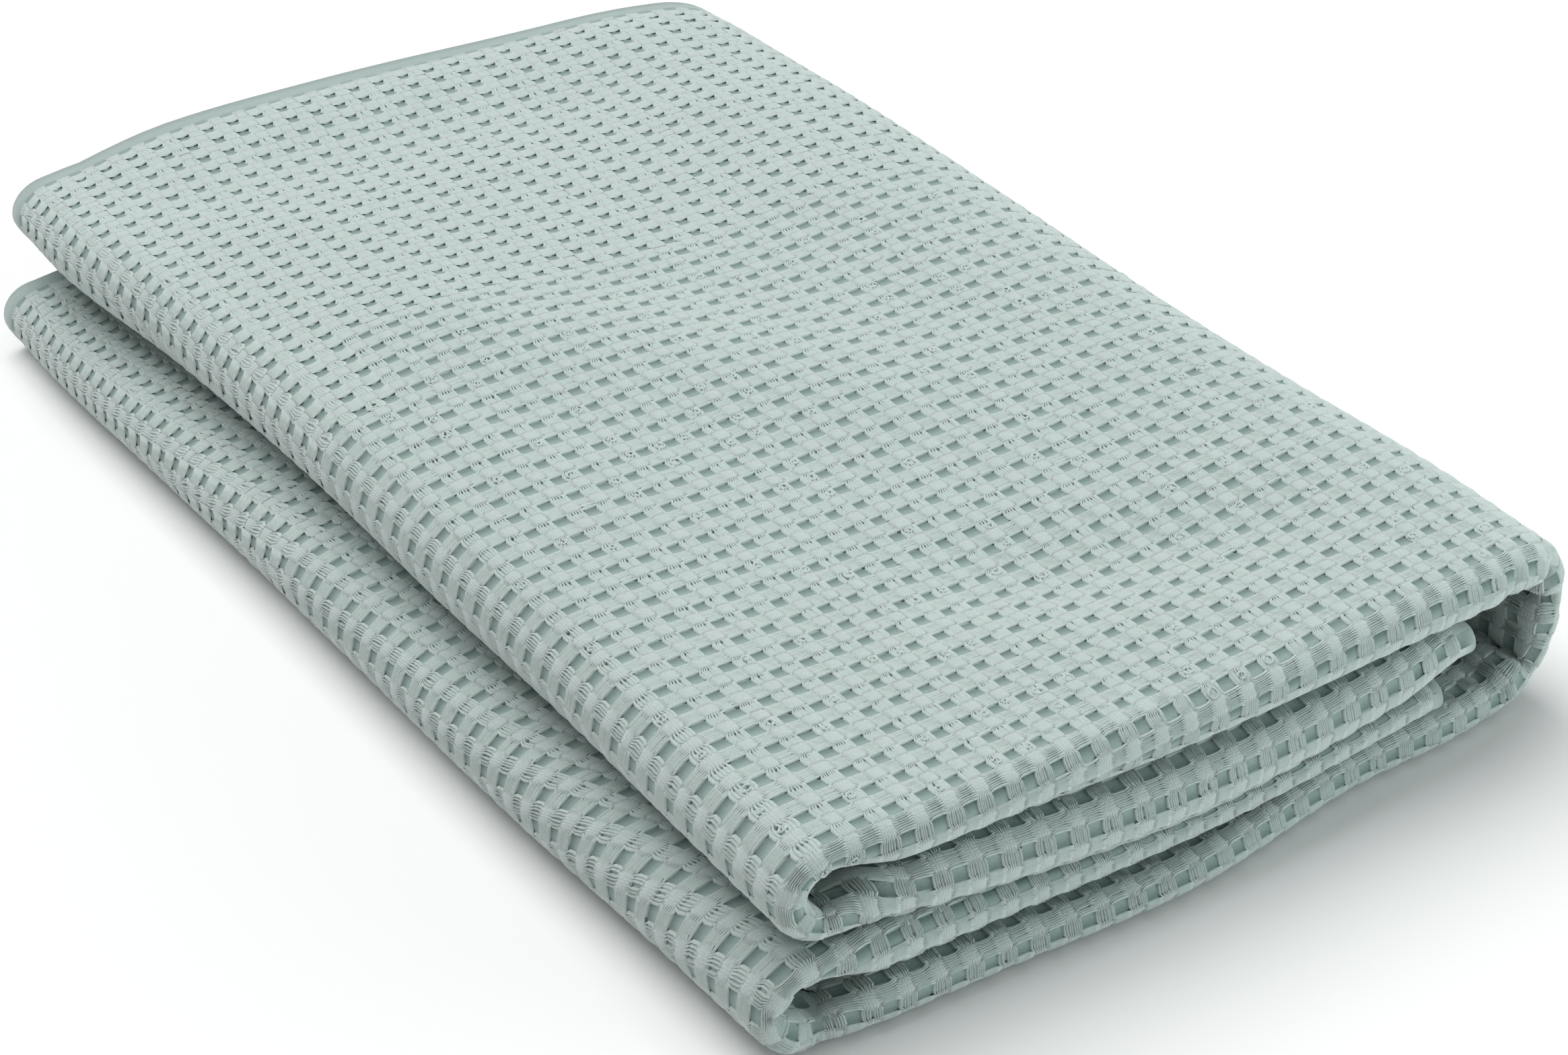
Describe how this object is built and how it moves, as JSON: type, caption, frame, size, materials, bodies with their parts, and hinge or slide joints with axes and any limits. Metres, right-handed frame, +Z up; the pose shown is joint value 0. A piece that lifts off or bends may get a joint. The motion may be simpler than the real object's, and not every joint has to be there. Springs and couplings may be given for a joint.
{
  "type": "folded waffle weave cotton blanket",
  "caption": "Cotton blanket in a coarse open waffle weave, folded into a soft rounded stack with loose rolled ends.",
  "frame": {"origin": "centre of the bounding box at the base, where the folded stack rests", "axes": "+Z up; +Y along the length of the stack, from the front fold to the hemmed end; +X from the two folded lips to the wide wrap"},
  "size_m": [0.3174, 0.531, 0.0665],
  "materials": {
    "cotton": "matte, soft and slightly fuzzy, pale sage green"
  },
  "bodies": {
    "root": {"blanket": "cotton"}
  },
  "joints": []
}
